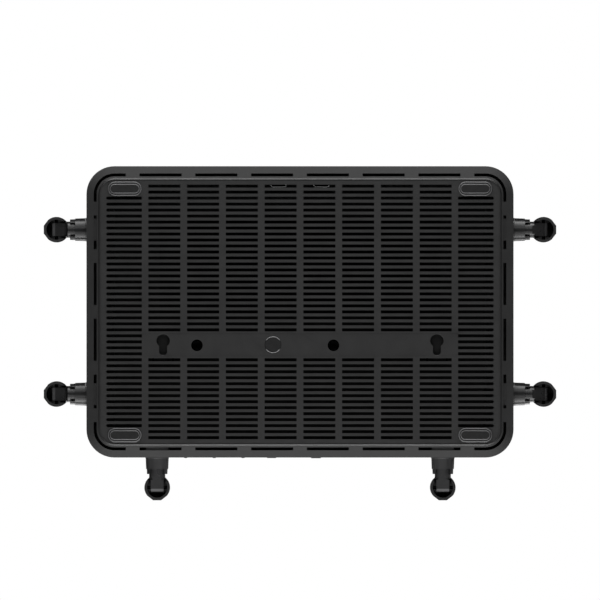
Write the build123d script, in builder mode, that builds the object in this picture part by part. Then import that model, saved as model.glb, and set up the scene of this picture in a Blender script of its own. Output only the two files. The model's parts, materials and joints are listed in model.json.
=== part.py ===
"""Six-antenna desktop router, one STEP file for each piece.

Millimetres. +Z is up and +Y is the rear, where the ports are. The origin is on the table,
under the middle of the whole object with its antennas upright.
"""
from build123d import *
import math
import os

os.makedirs("parts", exist_ok=True)

# ---------------------------------------------------------------- driving dimensions
CASE_X = 259.0
CASE_Y = 176.7
CORNER_R = 17.0
WALL = 2.0
ANTENNA_REACH = 26.0        # outermost facet of an antenna, from the case wall
OVERALL_HEIGHT = 184.0

# heights above the table
TRAY_Z = 2.2                # underside of the tray
RIM_INNER_Z = 3.2           # inner edge of the sloping rim
RIM_OUTER_Z = 5.0           # outer edge of the sloping rim
FLOOR_TOP_Z = 4.2           # inside face of the tray
RIM_TOP_Z = 7.0             # inside face of the thicker rim
BOARD_Z = 9.0
SPLIT_Z = 22.0              # where the covers part, and the height of the antenna axes
LID_Z = 32.0                # inside face of the top cover
CASE_TOP_Z = 34.0

# tray and grille
TRAY_INSET = 7.2
TRAY_CORNER_R = 10.0
TRAY_BEVEL = 0.85
TRAY_GROOVE = (0.5, 0.3)            # width and depth of the fine line inside the bevel
TRAY_GROOVE_INSET = 8.4
GRILLE_ROWS = 43
GRILLE_PITCH = 3.631
SLOT_HEIGHT = 1.85
COLUMN_PITCH = 23.5
COLUMN_WIDTH = 19.4
INNER_COLUMNS = 8
BAND_ROWS = (25, 26, 27, 28)        # rows left solid for the fixing band
OUTER_COLUMN_X = (95.9, 117.5)
OUTER_COLUMN_ROWS = range(2, 41)
STRIP_Y = 19.9
STRIP_SIZE = (191.6, 13.95)
STRIP_DEPTH = 0.2

# ring of thin slots in the rim
RING_INSET = 5.3
RING_WIDTH = 1.8
BRIDGE = 8.3
BRIDGE_PITCH = 33.83
BRIDGE_COUNT = 7
SIDE_BRIDGES = (0.0, BRIDGE_PITCH, 62.65)

# fixings
KEYHOLE_X = 83.0
KEYHOLE_HEAD_R = 4.0
KEYHOLE_HEAD_Y = 17.5
KEYHOLE_SLOT = 4.7
KEYHOLE_END_Y = 24.0
KEYHOLE_POCKET = (11.0, 17.5)
KEYHOLE_POCKET_TOP = 7.2
KEYHOLE_SHELL = 1.0
KEYHOLE_BEVEL = 0.15
WELL_R = 3.5
WELL_WALL = 1.5
WELL_TOP_Z = 14.0
SEAL_AT = (-16.4, STRIP_Y)
CASE_SCREWS_AT = [(-62.5, 20.3), (20.3, 20.3), SEAL_AT]
SEAL_R = 5.1
SEAL_RECESS = 0.45
SEAL_PROUD = 0.15
SEAL_BEVEL = 0.35
SCREW_R = 1.5
SCREW_HEAD_R = 2.8
SCREW_HEAD = 2.0
SCREW_LENGTH = 10.4
HEX_R = 1.2
HEX_DEPTH = 1.4

# feet
FOOT_AT = (106.3, 74.7)
FOOT_SIZE = (20.4, 8.7)
FOOT_PAD = (18.1, 5.8)
FOOT_RECESS = 0.4
FOOT_FIT = 0.2
FOOT_PAD_HEIGHT = 0.6
FOOT_BEVEL = 0.6
FOOT_PAD_BEVEL = 0.5

# main board
BOARD_THICKNESS = 1.6
BOARD_FRONT_Y = -66.0
BOARD_REAR_Y = 84.0
BOARD_HALF_X = 112.0
BOARD_SCREWS_AT = [(-94, -61), (94, -61), (0, -61), (-94, 8), (94, 8), (-23.5, 58), (70.5, 58)]
STANDOFF_R = 3.0
BOARD_CORNER_R = 2.0
BOARD_GAP = 0.5                     # round the screw wells
BOARD_SCREW_R = 1.1
BOARD_SCREW_LENGTH = 5.1
BOARD_SCREW_HEAD = (2.3, 1.5)       # radius and height
BOARD_TOP_Z = BOARD_Z + BOARD_THICKNESS

# shields, heatsink and heat spreader, centred on HEAT_Y
HEAT_Y = -27.0
SINK_SIZE = (170.0, 58.0)
SINK_CORNER_R = 2.0
SHIELD_HEIGHT = 2.4
SHIELD_CORNER_R = 1.0
PAD_MARGIN = 4.0
PAD_THICKNESS = 0.5
SHIELDS = {"shield_cpu": (0.0, 40.0), "shield_radio_low": (-58.0, 34.0), "shield_radio_high": (58.0, 34.0)}

# rear panel and ports
PANEL_HALF_X = 78.9
PANEL_BOTTOM_Z = 8.5
PANEL_TOP_Z = 27.0
PANEL_RECESS = 0.5
PANEL_FLANGE = 1.0
PANEL_LIP = 0.8
PANEL_BEVEL = 0.3
PORT_FIT = 0.15
RJ45_SIZE = (16.0, 21.0, 13.4)
RJ45_BEVEL = 0.25
RJ45_CAVITY = (11.9, 14.0, 8.4)
LATCH_WIDTH = 6.4
LATCH_HEIGHT = 2.6
CONTACT_COUNT = 8
CONTACT_PITCH = 1.02
CONTACT_SIZE = (0.45, 1.2)
CONTACT_SETBACK = 4.0
PORTS_AT = {"rj45_lan_3": -69.4, "rj45_lan_2": -52.1, "rj45_lan_1": -34.6, "rj45_wan": -17.3}
MESH_X = 9.7
RESET_X = 31.8
JACK_X = 54.9
PORT_Z = BOARD_TOP_Z + RJ45_SIZE[2] / 2
MESH_R = 3.0
MESH_FLANGE_R = 4.2
MESH_PROUD = 1.0
RESET_R = 1.5
RESET_FLANGE_R = 2.6
RESET_SUNK = 0.8
BUTTON_FIT = 0.1
BUTTON_FLANGE = 1.2
BUTTON_FLANGE_GAP = 0.5             # between the flange and the panel's inner face
BUTTON_STEM = 4.8
BUTTON_STEM_RATIO = 0.6
BUTTON_EDGE_R = 0.35
JACK_R = 4.2
JACK_BORE_R = 2.9
JACK_BORE_DEPTH = 10.0
JACK_PIN_R = 1.0
JACK_BODY = (9.0, 10.8, 11.0)
JACK_COLLAR = 1.2
PORT_MARK_Z = 28.0
PORT_MARK_HEIGHT = 1.0
PORT_MARK_PROUD = 0.45
PORT_MARKS = {"rj45_lan_3": 1.8, "rj45_lan_2": 1.8, "rj45_lan_1": 1.8, "rj45_wan": 5.5}

# light pipes
PIPE_SIZE = (9.0, 2.2)
PIPES_AT = {"light_pipe_system": (-13.0, -77.0), "light_pipe_network": (13.0, -77.0)}
PIPE_FOOT_Z = 11.2

# antennas: "out" is measured from the case wall
SIDE_ANTENNA_Y = 49.9
REAR_ANTENNA_X = 86.7
HINGE_OUT = 18.3
SOCKET_IN = 7.0
SOCKET_INNER_R = 6.65
SOCKET_SEAT_R = 6.2                 # where it passes through the wall
SOCKET_FLANGE_R = 7.15
SOCKET_FLANGE = 0.7
SOCKET_FLANGE_BEVEL = 0.17
SOCKET_COLLAR_R = 6.98
SOCKET_STEP_R = 6.75
SOCKET_STEP_OUT = 7.0
SOCKET_NOSE_R = 6.35
SOCKET_END_R = 6.2
SOCKET_END_OUT = 10.1
EAR_WINDOW = 4.3                    # half-width of the gap between the ears
NECK_R = 4.9
NECK_ROUND_OUT = 11.5               # the neck is fully round up to here
NECK_END_OUT = 13.5
RUNNING_FIT = 0.05
RETAINER_R = 6.0
RETAINER_GAP = 0.3
RETAINER_THICKNESS = 2.0
TONGUE_HALF_WIDTH = 3.95
TONGUE_END_HALF_WIDTH = 3.8
TONGUE_HALF_HEIGHT = 4.2
TONGUE_END_OUT = 21.0
TONGUE_NOSE_R = 3.5
PIN_R = 1.2
PIN_HALF_LENGTH = 7.0
PIN_ENTRY = 2.1                     # the pin snaps through this slot from below
BLADE_R = 7.75
BLADE_LIP = 1.6
BLADE_FOOT = 7.0                    # how far the shell reaches below the hinge
BLADE_FLAT = ANTENNA_REACH - HINGE_OUT
BLADE_FLAT_HALF = 2.4
BLADE_FLANK_ANGLE = 50.0            # where a flank leaves the round of the root
BLADE_ROOT_TOP = 12.0
BLADE_CAVITY_TOP = 7.5
BLADE_TIP = OVERALL_HEIGHT - SPLIT_Z
BLADE_SLOT = NECK_R + 0.3
BLADE_SLOT_TOP = 5.3
CHEEK_R = 4.5
CHEEK_FACE = TONGUE_HALF_WIDTH + 0.35
CHANNEL = (2.0, 10.4)
CHANNEL_TOP = 150.0
RADIATOR = (0.8, 9.6)
RADIATOR_FROM = 12.5
RADIATOR_TO = 148.0
LEAD_R = 0.6

# ---------------------------------------------------------------- shared planes
# The case sits forward of the origin by half of what the rear antennas add.
CASE_CENTRE_Y = -ANTENNA_REACH / 2
case = Plane((0, CASE_CENTRE_Y, 0))
REAR_WALL_Y = CASE_Y / 2
PANEL_FACE_Y = REAR_WALL_Y - PANEL_RECESS


def at_height(z):
    """The case's horizontal plane at height z."""
    return case.offset(z)


def facing_rear(y, x=0.0, z=0.0):
    """A plane that faces the rear at depth y of the case; its own x runs to -X, its y up."""
    return Plane((x, CASE_CENTRE_Y + y, z), x_dir=(-1, 0, 0), z_dir=(0, 1, 0))


def antenna_plane(x, y, out):
    """A level plane on the wall at an antenna: x points out of the case, z up."""
    return Plane((x, CASE_CENTRE_Y + y, SPLIT_Z), x_dir=out, z_dir=(0, 0, 1))


def upright(plane):
    """The vertical plane through an antenna's axis: x points out, y up."""
    return Plane(plane.origin, x_dir=plane.x_dir, z_dir=-plane.y_dir)


def outward(plane, distance):
    """The same antenna plane moved out along its axis."""
    return Plane(plane.origin + plane.x_dir * distance, x_dir=plane.x_dir, z_dir=plane.z_dir)


def across(plane):
    """The vertical plane that faces along an antenna's axis: x runs across, y up."""
    return Plane(plane.origin, x_dir=plane.y_dir, z_dir=plane.x_dir)


SIDE_WALL_X = CASE_X / 2
ANTENNAS = {
    "left_front": antenna_plane(-SIDE_WALL_X, -SIDE_ANTENNA_Y, (-1, 0, 0)),
    "left_rear": antenna_plane(-SIDE_WALL_X, SIDE_ANTENNA_Y, (-1, 0, 0)),
    "right_front": antenna_plane(SIDE_WALL_X, -SIDE_ANTENNA_Y, (1, 0, 0)),
    "right_rear": antenna_plane(SIDE_WALL_X, SIDE_ANTENNA_Y, (1, 0, 0)),
    "rear_left": antenna_plane(-REAR_ANTENNA_X, REAR_WALL_Y, (0, 1, 0)),
    "rear_right": antenna_plane(REAR_ANTENNA_X, REAR_WALL_Y, (0, 1, 0)),
}


def save(piece, name):
    """Label a finished piece and write its STEP file."""
    piece.part.label = name
    export_step(piece.part, f"parts/{name}.step")


def socket_blocks(low_z, high_z):
    """Blocks under or over the antenna sockets, against the inside of the walls."""
    with BuildPart() as blocks:
        for plane in ANTENNAS.values():
            middle = outward(plane, -(SOCKET_IN + WALL) / 2)
            with BuildSketch(Plane((middle.origin.X, middle.origin.Y, low_z), x_dir=middle.x_dir)):
                Rectangle(SOCKET_IN - WALL, 2 * SOCKET_INNER_R)
            extrude(amount=high_z - low_z)
    return blocks.part


def socket_seats():
    """The round seats that both covers leave for the sockets, in the blocks and in the walls."""
    with BuildPart() as seats:
        for plane in ANTENNAS.values():
            with BuildSketch(across(outward(plane, -SOCKET_IN))):
                Circle(SOCKET_INNER_R)
            extrude(amount=SOCKET_IN - WALL)
            with BuildSketch(across(outward(plane, -WALL))):
                Circle(SOCKET_SEAT_R)
            extrude(amount=2 * WALL)
    return seats.part


seats = socket_seats()
lower_blocks = socket_blocks(RIM_OUTER_Z, SPLIT_Z)
upper_blocks = socket_blocks(SPLIT_Z, LID_Z)


# ---------------------------------------------------------------- bottom cover
TRAY_X = CASE_X - 2 * TRAY_INSET
TRAY_Y = CASE_Y - 2 * TRAY_INSET
grille_y = [(row - GRILLE_ROWS // 2) * GRILLE_PITCH for row in range(GRILLE_ROWS)]
column_x = [(column - (INNER_COLUMNS - 1) / 2) * COLUMN_PITCH for column in range(INNER_COLUMNS)]
inner_slots = [(x, y) for row, y in enumerate(grille_y) if row not in BAND_ROWS for x in column_x]
outer_width = OUTER_COLUMN_X[1] - OUTER_COLUMN_X[0]
outer_middle = sum(OUTER_COLUMN_X) / 2

with BuildPart() as bottom_cover:
    # outside: upright wall, sloping rim, then the tray standing proud below it
    with BuildSketch(at_height(RIM_OUTER_Z)):
        RectangleRounded(CASE_X, CASE_Y, CORNER_R)
    extrude(amount=SPLIT_Z - RIM_OUTER_Z)
    with BuildSketch(at_height(RIM_OUTER_Z)):
        RectangleRounded(CASE_X, CASE_Y, CORNER_R)
    with BuildSketch(at_height(RIM_INNER_Z)):
        RectangleRounded(TRAY_X, TRAY_Y, TRAY_CORNER_R)
    loft()
    with BuildSketch(at_height(TRAY_Z)):
        RectangleRounded(TRAY_X, TRAY_Y, TRAY_CORNER_R)
    extrude(amount=RIM_INNER_Z - TRAY_Z)
    chamfer(bottom_cover.faces().sort_by(Axis.Z)[0].edges(), TRAY_BEVEL)
    groove_x = CASE_X - 2 * TRAY_GROOVE_INSET
    groove_y = CASE_Y - 2 * TRAY_GROOVE_INSET
    groove_r = CORNER_R - TRAY_GROOVE_INSET
    with BuildSketch(at_height(TRAY_Z)):
        RectangleRounded(groove_x, groove_y, groove_r)
        RectangleRounded(groove_x - 2 * TRAY_GROOVE[0], groove_y - 2 * TRAY_GROOVE[0],
                         groove_r - TRAY_GROOVE[0], mode=Mode.SUBTRACT)
    extrude(amount=TRAY_GROOVE[1], mode=Mode.SUBTRACT)

    # inside: a wide pocket above the rim and a smaller one down to the tray
    with BuildSketch(at_height(RIM_TOP_Z)):
        RectangleRounded(CASE_X - 2 * WALL, CASE_Y - 2 * WALL, CORNER_R - WALL)
    extrude(amount=SPLIT_Z - RIM_TOP_Z, mode=Mode.SUBTRACT)
    with BuildSketch(at_height(FLOOR_TOP_Z)):
        RectangleRounded(TRAY_X - 2 * WALL, TRAY_Y - 2 * WALL, TRAY_CORNER_R - WALL)
    extrude(amount=RIM_TOP_Z - FLOOR_TOP_Z, mode=Mode.SUBTRACT)

    # ring of thin slots, broken by bridges
    ring_x = CASE_X - 2 * RING_INSET
    ring_y = CASE_Y - 2 * RING_INSET
    ring_r = CORNER_R - RING_INSET
    with BuildSketch(at_height(TRAY_Z)):
        RectangleRounded(ring_x + RING_WIDTH, ring_y + RING_WIDTH, ring_r + RING_WIDTH / 2)
        RectangleRounded(ring_x - RING_WIDTH, ring_y - RING_WIDTH, ring_r - RING_WIDTH / 2, mode=Mode.SUBTRACT)
        with GridLocations(BRIDGE_PITCH, ring_y, BRIDGE_COUNT, 2):
            Rectangle(BRIDGE, 2 * RING_WIDTH, mode=Mode.SUBTRACT)
        for y in SIDE_BRIDGES:
            with Locations((ring_x / 2, y), (-ring_x / 2, y), (ring_x / 2, -y), (-ring_x / 2, -y)):
                Rectangle(2 * RING_WIDTH, BRIDGE, mode=Mode.SUBTRACT)
    extrude(amount=RIM_TOP_Z - TRAY_Z, mode=Mode.SUBTRACT)

    # fixing strip: a shallow recess across the solid band
    with BuildSketch(at_height(TRAY_Z)):
        with Locations((0, STRIP_Y)):
            Rectangle(*STRIP_SIZE)
    extrude(amount=STRIP_DEPTH, mode=Mode.SUBTRACT)

    # recesses that locate the feet
    with BuildSketch(at_height(TRAY_Z)):
        with GridLocations(2 * FOOT_AT[0], 2 * FOOT_AT[1], 2, 2):
            SlotOverall(FOOT_SIZE[0] + FOOT_FIT, FOOT_SIZE[1] + FOOT_FIT)
    extrude(amount=FOOT_RECESS, mode=Mode.SUBTRACT)

    # closed pockets behind the keyholes, then the keyholes
    pocket_at = [(side * KEYHOLE_X, (KEYHOLE_HEAD_Y + KEYHOLE_END_Y) / 2) for side in (-1, 1)]
    with BuildSketch(at_height(FLOOR_TOP_Z)):
        with Locations(*pocket_at):
            Rectangle(KEYHOLE_POCKET[0] + 2 * KEYHOLE_SHELL, KEYHOLE_POCKET[1] + 2 * KEYHOLE_SHELL)
    extrude(amount=KEYHOLE_POCKET_TOP + KEYHOLE_SHELL - FLOOR_TOP_Z)
    with BuildSketch(at_height(FLOOR_TOP_Z)):
        with Locations(*pocket_at):
            Rectangle(*KEYHOLE_POCKET)
    extrude(amount=KEYHOLE_POCKET_TOP - FLOOR_TOP_Z, mode=Mode.SUBTRACT)
    with BuildSketch(at_height(TRAY_Z)):
        for side in (-1, 1):
            with Locations((side * KEYHOLE_X, KEYHOLE_HEAD_Y)):
                Circle(KEYHOLE_HEAD_R)
            with Locations((side * KEYHOLE_X, KEYHOLE_END_Y)):
                Circle(KEYHOLE_SLOT / 2)
            with Locations((side * KEYHOLE_X, (KEYHOLE_HEAD_Y + KEYHOLE_END_Y) / 2)):
                Rectangle(KEYHOLE_SLOT, KEYHOLE_END_Y - KEYHOLE_HEAD_Y)
    extrude(amount=FLOOR_TOP_Z - TRAY_Z, mode=Mode.SUBTRACT)
    strip_face_z = TRAY_Z + STRIP_DEPTH
    strip_edges = bottom_cover.edges().filter_by_position(Axis.Z, strip_face_z - 0.01, strip_face_z + 0.01)
    keyhole_edges = [edge for edge in strip_edges if abs(abs(edge.center().X) - KEYHOLE_X) < KEYHOLE_HEAD_R]
    chamfer(keyhole_edges, KEYHOLE_BEVEL)

    # screw wells: tubes with a web near the top
    with BuildSketch(at_height(FLOOR_TOP_Z)):
        with Locations(*CASE_SCREWS_AT):
            Circle(WELL_R + WELL_WALL)
    extrude(amount=WELL_TOP_Z + WALL - FLOOR_TOP_Z)
    with BuildSketch(at_height(TRAY_Z)):
        with Locations(*CASE_SCREWS_AT):
            Circle(WELL_R)
    extrude(amount=WELL_TOP_Z - TRAY_Z, mode=Mode.SUBTRACT)
    with BuildSketch(at_height(WELL_TOP_Z)):
        with Locations(*CASE_SCREWS_AT):
            Circle(SCREW_R)
    extrude(amount=WALL, mode=Mode.SUBTRACT)
    with BuildSketch(at_height(TRAY_Z)):
        with Locations(SEAL_AT):
            Circle(SEAL_R)
    extrude(amount=STRIP_DEPTH + SEAL_RECESS, mode=Mode.SUBTRACT)

    # standoffs for the board
    with BuildSketch(at_height(FLOOR_TOP_Z)):
        with Locations(*BOARD_SCREWS_AT):
            Circle(STANDOFF_R)
            Circle(BOARD_SCREW_R, mode=Mode.SUBTRACT)
    extrude(amount=BOARD_Z - FLOOR_TOP_Z)

    # seats of the antenna sockets; the blocks reach down into the ring of slots
    add(lower_blocks)
    add(seats, mode=Mode.SUBTRACT)

    # lower part of the opening for the rear panel
    with BuildSketch(facing_rear(REAR_WALL_Y - WALL)):
        with Locations((0, (PANEL_BOTTOM_Z + SPLIT_Z) / 2)):
            Rectangle(2 * PANEL_HALF_X, SPLIT_Z - PANEL_BOTTOM_Z)
    extrude(amount=WALL, mode=Mode.SUBTRACT)

    # grille
    with BuildSketch(at_height(TRAY_Z)):
        with Locations(*inner_slots):
            Rectangle(COLUMN_WIDTH, SLOT_HEIGHT)
        for row in OUTER_COLUMN_ROWS:
            for side in (-1, 1):
                with Locations((side * (outer_middle - SLOT_HEIGHT / 4), grille_y[row])):
                    Rectangle(outer_width - SLOT_HEIGHT / 2, SLOT_HEIGHT)
                with Locations((side * (OUTER_COLUMN_X[1] - SLOT_HEIGHT / 2), grille_y[row])):
                    Circle(SLOT_HEIGHT / 2)
    extrude(amount=FLOOR_TOP_Z - TRAY_Z, mode=Mode.SUBTRACT, clean=False)
save(bottom_cover, "bottom_cover")

# ---------------------------------------------------------------- top cover
TOP_EDGE_R = 5.0
DECK_SIZE = (176.0, 118.0)
DECK_GROOVE = 1.0
VENT_SIZE = (1.9, 46.0)
VENT_DEPTH = 1.2
VENT_PITCH = 4.6
VENT_COUNT = 5
VENT_X = 107.0
BOSS_OUTER_R = 4.0

with BuildPart() as top_cover:
    with BuildSketch(at_height(SPLIT_Z)):
        RectangleRounded(CASE_X, CASE_Y, CORNER_R)
    extrude(amount=CASE_TOP_Z - SPLIT_Z)
    fillet(top_cover.faces().sort_by(Axis.Z)[-1].edges(), TOP_EDGE_R)
    with BuildSketch(at_height(SPLIT_Z)):
        RectangleRounded(CASE_X - 2 * WALL, CASE_Y - 2 * WALL, CORNER_R - WALL)
    extrude(amount=LID_Z - 2 * WALL - SPLIT_Z, mode=Mode.SUBTRACT)
    with BuildSketch(at_height(LID_Z - 2 * WALL)):
        RectangleRounded(CASE_X - 4 * WALL, CASE_Y - 4 * WALL, CORNER_R - 2 * WALL)
    extrude(amount=2 * WALL, mode=Mode.SUBTRACT)

    # a fine groove frames the raised deck
    with BuildSketch(at_height(CASE_TOP_Z - DECK_GROOVE)):
        RectangleRounded(DECK_SIZE[0] + 2 * DECK_GROOVE, DECK_SIZE[1] + 2 * DECK_GROOVE, CORNER_R)
        RectangleRounded(*DECK_SIZE, CORNER_R - DECK_GROOVE, mode=Mode.SUBTRACT)
    extrude(amount=DECK_GROOVE, mode=Mode.SUBTRACT)

    # screw bosses come down onto the wells
    with BuildSketch(at_height(WELL_TOP_Z + WALL)):
        with Locations(*CASE_SCREWS_AT):
            Circle(BOSS_OUTER_R)
    extrude(amount=LID_Z - WELL_TOP_Z - WALL)
    with BuildSketch(at_height(WELL_TOP_Z + WALL)):
        with Locations(*CASE_SCREWS_AT):
            Circle(SCREW_R)
    extrude(amount=SPLIT_Z + 2 * WALL - WELL_TOP_Z - WALL, mode=Mode.SUBTRACT)

    add(upper_blocks)
    add(seats, mode=Mode.SUBTRACT)

    # upper part of the opening for the rear panel
    with BuildSketch(facing_rear(REAR_WALL_Y - WALL)):
        with Locations((0, (PANEL_TOP_Z + SPLIT_Z) / 2)):
            Rectangle(2 * PANEL_HALF_X, PANEL_TOP_Z - SPLIT_Z)
    extrude(amount=WALL, mode=Mode.SUBTRACT)

    # blind flutes beside the deck
    with BuildSketch(at_height(CASE_TOP_Z - VENT_DEPTH)):
        for side in (-1, 1):
            with Locations((side * VENT_X, 0)):
                with GridLocations(VENT_PITCH, VENT_SIZE[1] + VENT_PITCH, VENT_COUNT, 3):
                    SlotOverall(VENT_SIZE[1], VENT_SIZE[0], rotation=90)
    extrude(amount=VENT_DEPTH, mode=Mode.SUBTRACT)

    # a raised bar over each network port
    with BuildSketch(facing_rear(REAR_WALL_Y)):
        for port, mark_width in PORT_MARKS.items():
            with Locations((-PORTS_AT[port], PORT_MARK_Z)):
                Rectangle(mark_width, PORT_MARK_HEIGHT)
    extrude(amount=PORT_MARK_PROUD)

    # windows for the light pipes
    with BuildSketch(at_height(LID_Z)):
        with Locations(*PIPES_AT.values()):
            SlotOverall(PIPE_SIZE[0] + 2 * RUNNING_FIT, PIPE_SIZE[1] + 2 * RUNNING_FIT)
    extrude(amount=CASE_TOP_Z - LID_Z, mode=Mode.SUBTRACT)
save(top_cover, "top_cover")

# ---------------------------------------------------------------- rear panel and ports
PANEL_SEAT_Y = REAR_WALL_Y - WALL
panel_middle_z = (PANEL_BOTTOM_Z + PANEL_TOP_Z) / 2
panel_height = PANEL_TOP_Z - PANEL_BOTTOM_Z

with BuildPart() as rear_panel:
    with BuildSketch(facing_rear(PANEL_SEAT_Y)):
        with Locations((0, panel_middle_z)):
            Rectangle(2 * PANEL_HALF_X - 2 * PORT_FIT, panel_height - 2 * PORT_FIT)
    extrude(amount=PANEL_FACE_Y - PANEL_SEAT_Y)
    chamfer(rear_panel.faces().sort_by(Axis.Y)[-1].edges(), PANEL_BEVEL)
    with BuildSketch(facing_rear(PANEL_SEAT_Y - PANEL_FLANGE)):
        with Locations((0, panel_middle_z)):
            Rectangle(2 * PANEL_HALF_X - 2 * PORT_FIT, panel_height + 2 * PANEL_LIP)
    extrude(amount=PANEL_FLANGE)
    with BuildSketch(facing_rear(PANEL_SEAT_Y - PANEL_FLANGE)):
        for x in PORTS_AT.values():
            with Locations((-x, PORT_Z)):
                Rectangle(RJ45_SIZE[0] + 2 * PORT_FIT, RJ45_SIZE[2] + 2 * PORT_FIT)
        with Locations((-MESH_X, PORT_Z)):
            Circle(MESH_R + BUTTON_FIT)
        with Locations((-RESET_X, PORT_Z)):
            Circle(RESET_R + BUTTON_FIT)
        with Locations((-JACK_X, PORT_Z)):
            Circle(JACK_R + PORT_FIT)
    extrude(amount=PANEL_FLANGE + WALL, mode=Mode.SUBTRACT)
save(rear_panel, "rear_panel")


def network_socket(name, x):
    """A shielded eight-way socket on the board, with its mouth at the panel's face."""
    with BuildPart() as socket:
        with BuildSketch(facing_rear(PANEL_FACE_Y - RJ45_SIZE[1], x)):
            with Locations((0, PORT_Z)):
                Rectangle(RJ45_SIZE[0], RJ45_SIZE[2])
        extrude(amount=RJ45_SIZE[1])
        chamfer(socket.faces().sort_by(Axis.Y)[-1].edges(), RJ45_BEVEL)
        with BuildSketch(facing_rear(PANEL_FACE_Y - RJ45_CAVITY[1], x)):
            with Locations((0, PORT_Z + LATCH_HEIGHT / 2)):
                Rectangle(RJ45_CAVITY[0], RJ45_CAVITY[2])
            with Locations((0, PORT_Z - RJ45_CAVITY[2] / 2)):
                Rectangle(LATCH_WIDTH, LATCH_HEIGHT)
        extrude(amount=RJ45_CAVITY[1], mode=Mode.SUBTRACT)
        # eight spring contacts run along the roof of the cavity
        with BuildSketch(facing_rear(PANEL_FACE_Y - RJ45_CAVITY[1], x)):
            with Locations((0, PORT_Z + (LATCH_HEIGHT + RJ45_CAVITY[2] - CONTACT_SIZE[1]) / 2)):
                with GridLocations(CONTACT_PITCH, 1, CONTACT_COUNT, 1):
                    Rectangle(*CONTACT_SIZE)
        extrude(amount=RJ45_CAVITY[1] - CONTACT_SETBACK)
    save(socket, name)


for port, port_x in PORTS_AT.items():
    network_socket(port, port_x)

with BuildPart() as dc_jack:
    with BuildSketch(facing_rear(PANEL_SEAT_Y - JACK_COLLAR - JACK_BODY[1], JACK_X)):
        with Locations((0, BOARD_TOP_Z + JACK_BODY[2] / 2)):
            Rectangle(JACK_BODY[0], JACK_BODY[2])
    extrude(amount=JACK_BODY[1])
    with BuildSketch(facing_rear(PANEL_SEAT_Y - JACK_COLLAR, JACK_X)):
        with Locations((0, PORT_Z)):
            Circle(JACK_R)
    extrude(amount=PANEL_FACE_Y - PANEL_SEAT_Y + JACK_COLLAR)
    with BuildSketch(facing_rear(PANEL_FACE_Y - JACK_BORE_DEPTH, JACK_X)):
        with Locations((0, PORT_Z)):
            Circle(JACK_BORE_R)
            Circle(JACK_PIN_R, mode=Mode.SUBTRACT)
    extrude(amount=JACK_BORE_DEPTH, mode=Mode.SUBTRACT)
save(dc_jack, "dc_jack")


def push_button(name, x, cap_r, face_y, flange_r):
    """A round cap with a flange that stops it behind the panel."""
    flange_y = PANEL_SEAT_Y - PANEL_FLANGE - BUTTON_FLANGE_GAP - BUTTON_FLANGE
    with BuildPart() as button:
        with BuildSketch(facing_rear(PANEL_SEAT_Y - BUTTON_STEM, x)):
            with Locations((0, PORT_Z)):
                Circle(cap_r * BUTTON_STEM_RATIO)
        extrude(amount=BUTTON_STEM)
        with BuildSketch(facing_rear(flange_y, x)):
            with Locations((0, PORT_Z)):
                Circle(flange_r)
        extrude(amount=BUTTON_FLANGE)
        with BuildSketch(facing_rear(flange_y, x)):
            with Locations((0, PORT_Z)):
                Circle(cap_r)
        extrude(amount=face_y - flange_y)
        fillet(button.faces().sort_by(Axis.Y)[-1].edges(), BUTTON_EDGE_R)
    save(button, name)


push_button("mesh_button", MESH_X, MESH_R, PANEL_FACE_Y + MESH_PROUD, MESH_FLANGE_R)
push_button("reset_button", RESET_X, RESET_R, PANEL_FACE_Y - RESET_SUNK, RESET_FLANGE_R)

# ---------------------------------------------------------------- main board and what is on it
BOARD_NOTCH = (66.0, 8.0)           # clears the sockets of the rear antennas
SWITCH_SIZE = (6.0, 4.0)
SWITCH_GAP = 1.4
SWITCH_OVER_AXIS = 3.0
switch_face_y = PANEL_SEAT_Y - BUTTON_STEM - SWITCH_GAP
CHIP_HEIGHT = 1.2
CHIPS_AT = [(-46, 30, 14, 14), (-8, 34, 10, 18), (18, 44, 9, 9), (44, 34, 12, 8), (-40, 48, 8, 20)]
CAPACITORS_AT = [(56, 46), (62, 58), (48, 58), (-2, 52)]
CAPACITOR_R = 3.1
CAPACITOR_HEIGHT = 8.0

with BuildPart() as main_board:
    with BuildSketch(at_height(BOARD_Z)):
        with Locations((0, (BOARD_FRONT_Y + BOARD_REAR_Y) / 2)):
            RectangleRounded(2 * BOARD_HALF_X, BOARD_REAR_Y - BOARD_FRONT_Y, BOARD_CORNER_R)
        with Locations((-BOARD_HALF_X, BOARD_REAR_Y), (BOARD_HALF_X, BOARD_REAR_Y)):
            Rectangle(*BOARD_NOTCH, mode=Mode.SUBTRACT)
        with Locations(*CASE_SCREWS_AT):
            Circle(WELL_R + WELL_WALL + BOARD_GAP, mode=Mode.SUBTRACT)
        with Locations(*BOARD_SCREWS_AT):
            Circle(BOARD_SCREW_R, mode=Mode.SUBTRACT)
    extrude(amount=BOARD_THICKNESS)
    for chip_x, chip_y, chip_w, chip_d in CHIPS_AT:
        with BuildSketch(at_height(BOARD_TOP_Z)):
            with Locations((chip_x, chip_y)):
                Rectangle(chip_w, chip_d)
        extrude(amount=CHIP_HEIGHT)
    with BuildSketch(at_height(BOARD_TOP_Z)):
        with Locations(*CAPACITORS_AT):
            Circle(CAPACITOR_R)
    extrude(amount=CAPACITOR_HEIGHT)
    for button_x in (MESH_X, RESET_X):
        with BuildSketch(at_height(BOARD_TOP_Z)):
            with Locations((button_x, switch_face_y - SWITCH_SIZE[1] / 2)):
                Rectangle(*SWITCH_SIZE)
        extrude(amount=PORT_Z - BOARD_TOP_Z + SWITCH_OVER_AXIS)
save(main_board, "main_board")

for shield_name, (shield_x, shield_side) in SHIELDS.items():
    with BuildPart() as shield:
        with BuildSketch(at_height(BOARD_TOP_Z)):
            with Locations((shield_x, HEAT_Y)):
                RectangleRounded(shield_side, shield_side, SHIELD_CORNER_R)
        extrude(amount=SHIELD_HEIGHT)
    save(shield, shield_name)

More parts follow.
